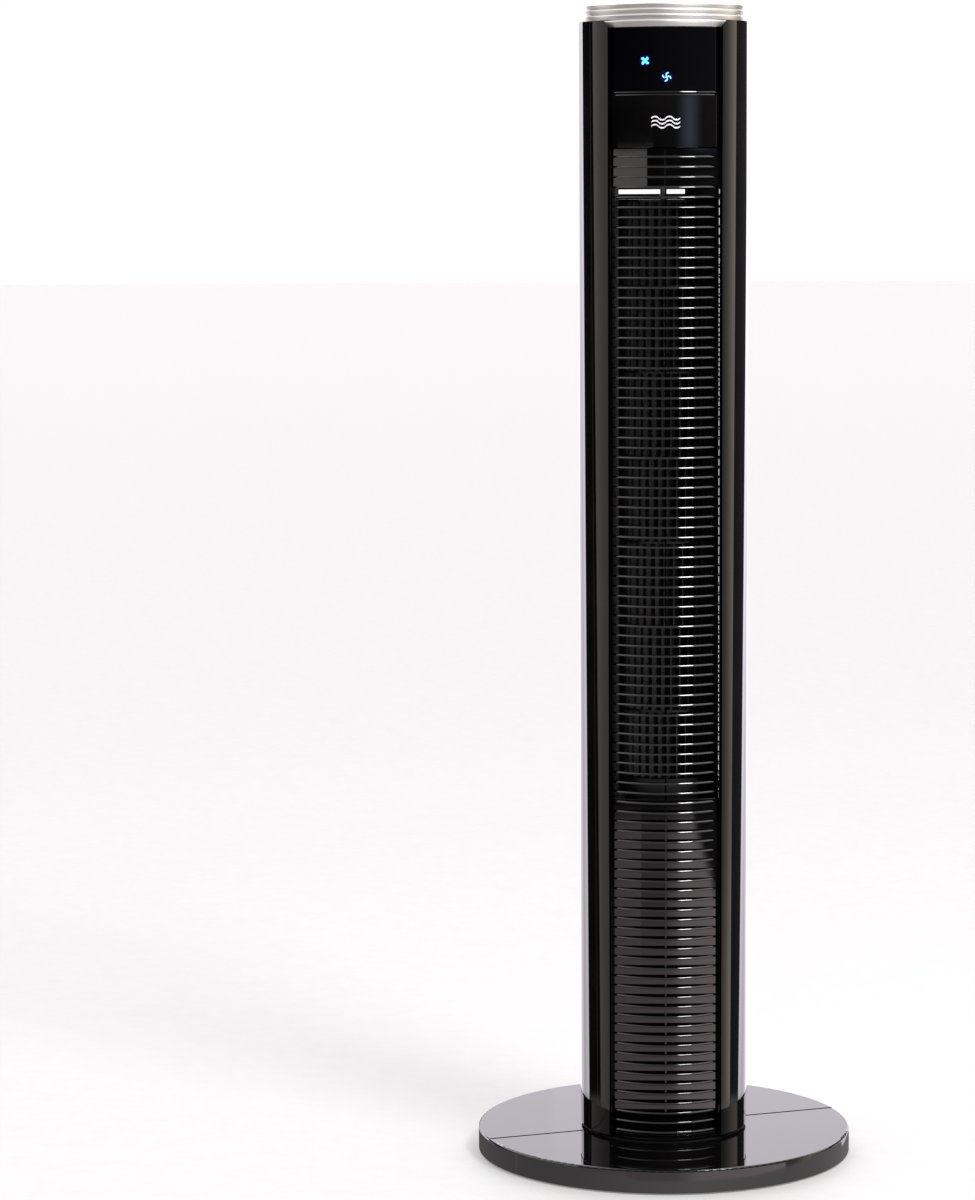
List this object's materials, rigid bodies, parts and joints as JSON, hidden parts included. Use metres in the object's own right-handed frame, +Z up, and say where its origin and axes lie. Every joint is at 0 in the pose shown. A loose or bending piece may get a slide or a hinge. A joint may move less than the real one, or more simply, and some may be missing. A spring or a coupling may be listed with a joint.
{
  "type": "tower fan",
  "caption": "Tall round tower fan: black column with a louvred outlet and silver cap, swinging on a flat round base.",
  "frame": {"origin": "centre of the round base, on the floor", "axes": "+Z up the column, which faces -Y at rest; +X to the right seen from the front"},
  "size_m": [0.35, 0.35, 1.07],
  "materials": {
    "black_abs": "gloss",
    "black_matte": "satin",
    "window_black": "polished",
    "silver": "satin, turned",
    "rubber": "matte",
    "nylon": "natural",
    "steel": "zinc plated",
    "lamination": "stacked sheet",
    "copper": "enamelled winding",
    "bronze": "sintered",
    "wheel": "satin",
    "board_green": "solder mask",
    "capacitor": "plain",
    "terminal": "plain",
    "wire": "sleeved",
    "icon_blue": "lit from behind",
    "badge_white": "printed"
  },
  "bodies": {
    "base": {"base_front_half": "black_abs", "base_rear_half": "black_abs", "cord_gland": "rubber", "base_feet": "rubber", "pedestal": "black_matte", "base_screws": "steel", "thrust_ring": "nylon", "retaining_ring": "steel", "swing_gear": "nylon", "retainer_screws": "steel"},
    "column": {"turntable": "black_abs", "frame_rails": "steel", "front_grille": "black_abs", "lower_blank_plate": "black_abs", "upper_blank_plate": "black_abs", "left_side_cover": "black_abs", "right_side_cover": "black_abs", "rear_cover": "black_abs", "case_screws": "steel", "intake_grille": "black_abs", "handle_cup": "black_matte", "scroll_wall": "black_matte", "tongue_wall": "black_matte", "motor_deck": "black_matte", "bearing_deck": "black_matte", "electronics_tray": "black_matte", "motor_stator": "lamination", "motor_windings": "copper", "motor_end_shields": "steel", "motor_bearings": "bronze", "motor_mounts": "rubber", "motor_screws": "steel", "top_bearing": "bronze", "bearing_rubber": "rubber", "swing_bracket": "steel", "swing_motor": "steel", "swing_motor_screws": "steel", "power_board": "board_green", "run_capacitor": "capacitor", "terminal_block": "terminal", "wiring_harness": "wire", "control_board": "board_green", "display_window": "window_black", "display_icons": "icon_blue", "badge_panel": "black_abs", "airflow_badge": "badge_white", "silver_cap": "silver", "top_panel": "black_abs", "switch_board": "board_green"},
    "impeller": {"impeller_wheel": "wheel", "hub_damper": "rubber", "top_pivot_pin": "steel", "motor_shaft": "steel", "motor_rotor": "lamination"},
    "pinion": {"swing_pinion": "nylon"},
    "timer_key": {"timer_button": "black_abs"},
    "mode_key": {"mode_button": "black_abs"},
    "power_key": {"power_button": "black_abs"},
    "speed_key": {"speed_button": "black_abs"},
    "swing_key": {"swing_button": "black_abs"}
  },
  "joints": [
    {"name": "column_swing", "type": "hinge", "parent": "base", "child": "column", "pos_m": [0, 0, 0.026], "axis": [0, 0, 1], "range_deg": [-15, 55]},
    {"name": "impeller_spin", "type": "hinge", "parent": "column", "child": "impeller", "pos_m": [0, 0, 0.6], "axis": [0, 0, 1], "continuous": true},
    {"name": "pinion_spin", "type": "hinge", "parent": "column", "child": "pinion", "pos_m": [0, 0.0361, 0.038], "axis": [0, 0, 1], "range_deg": [-75, 275]},
    {"name": "timer_press", "type": "slide", "parent": "column", "child": "timer_key", "axis": [0, 0, -1], "range_m": [0, 0.001], "stiffness_N_per_m": 1500, "springref_m": -0.0005},
    {"name": "mode_press", "type": "slide", "parent": "column", "child": "mode_key", "axis": [0, 0, -1], "range_m": [0, 0.001], "stiffness_N_per_m": 1500, "springref_m": -0.0005},
    {"name": "power_press", "type": "slide", "parent": "column", "child": "power_key", "axis": [0, 0, -1], "range_m": [0, 0.001], "stiffness_N_per_m": 1500, "springref_m": -0.0005},
    {"name": "speed_press", "type": "slide", "parent": "column", "child": "speed_key", "axis": [0, 0, -1], "range_m": [0, 0.001], "stiffness_N_per_m": 1500, "springref_m": -0.0005},
    {"name": "swing_press", "type": "slide", "parent": "column", "child": "swing_key", "axis": [0, 0, -1], "range_m": [0, 0.001], "stiffness_N_per_m": 1500, "springref_m": -0.0005}
  ],
  "couplings": [
    {"joint": "pinion_spin", "follows": "column_swing", "ratio": 5}
  ]
}
